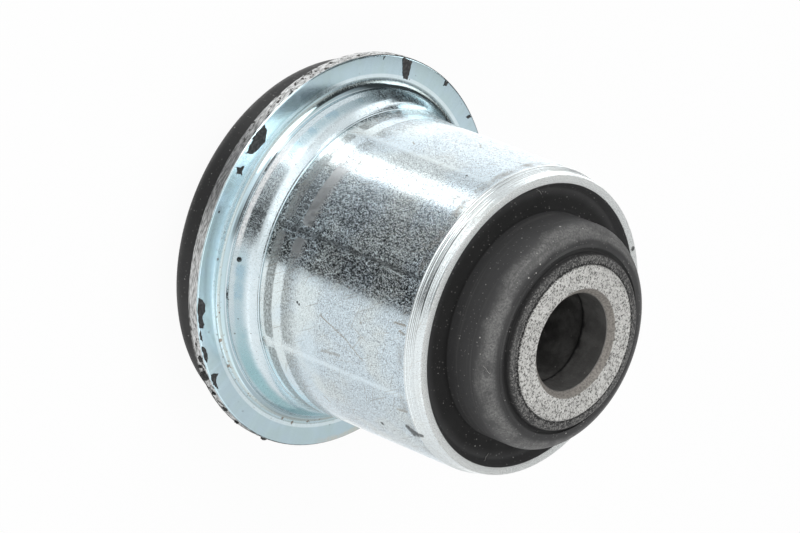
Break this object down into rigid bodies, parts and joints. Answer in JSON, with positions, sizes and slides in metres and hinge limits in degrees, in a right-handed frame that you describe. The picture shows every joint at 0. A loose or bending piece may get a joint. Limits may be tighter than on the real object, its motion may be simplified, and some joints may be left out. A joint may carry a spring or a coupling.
{
  "type": "control arm bushing",
  "caption": "Rubber bush bonded between a flanged press-in steel sleeve and a thick inner bolt sleeve, with a rubber pad behind the flange.",
  "frame": {"origin": "on the bolt bore's axis, at the rear end face of the inner sleeve, which the part stands on", "axes": "+Z along the bolt bore, from the pad end to the front rim; X and Y are free, because the part is round"},
  "size_m": [0.0584, 0.0584, 0.055],
  "materials": {
    "zinc_steel": "zinc plated with a pale blue passivate",
    "black_rubber": "satin moulded rubber",
    "bare_steel": "matt grey steel"
  },
  "bodies": {
    "root": {"outer_sleeve": "zinc_steel", "rubber_body": "black_rubber", "inner_sleeve": "bare_steel"}
  },
  "joints": []
}
